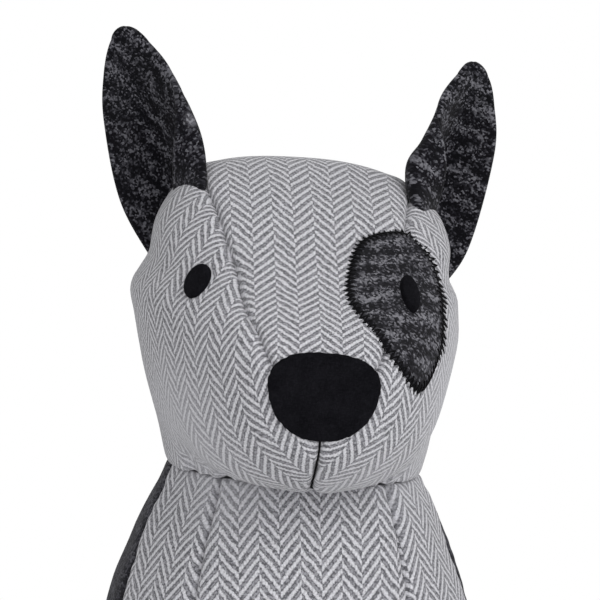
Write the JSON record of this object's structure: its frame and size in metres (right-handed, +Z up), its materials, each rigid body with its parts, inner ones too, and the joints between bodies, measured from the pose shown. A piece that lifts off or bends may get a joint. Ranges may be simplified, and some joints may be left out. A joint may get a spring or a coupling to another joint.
{
  "type": "dog door stop",
  "caption": "Sitting cloth dog in grey herringbone tweed with dark ears, eye patch and back, weighted inside to hold a door open.",
  "frame": {"origin": "middle of the base, on the floor", "axes": "+Z up; the dog faces -Y, and +X is to the right of someone who faces it"},
  "size_m": [0.1373, 0.1619, 0.3016],
  "materials": {
    "herringbone_tweed": "woven grey and off-white herringbone wool",
    "dark_marl": "dark grey and black flecked knit",
    "black_felt": "matt black felt",
    "fibre_fill": "white fibre filling",
    "sand_bag": "calico bag filled with sand"
  },
  "bodies": {
    "root": {"head_top_gusset": "herringbone_tweed", "head_side_left": "herringbone_tweed", "head_side_right": "herringbone_tweed", "head_filling": "fibre_fill", "ear_left_lining": "dark_marl", "ear_left_back": "dark_marl", "ear_right_lining": "dark_marl", "ear_right_back": "dark_marl", "nose": "black_felt", "eye_patch": "dark_marl", "eye_left": "black_felt", "eye_right": "black_felt", "body_chest_panel": "herringbone_tweed", "body_side_right": "herringbone_tweed", "body_side_left": "herringbone_tweed", "body_back_panel": "dark_marl", "body_filling": "fibre_fill", "weight_bag": "sand_bag", "base_panel": "dark_marl"}
  },
  "joints": []
}
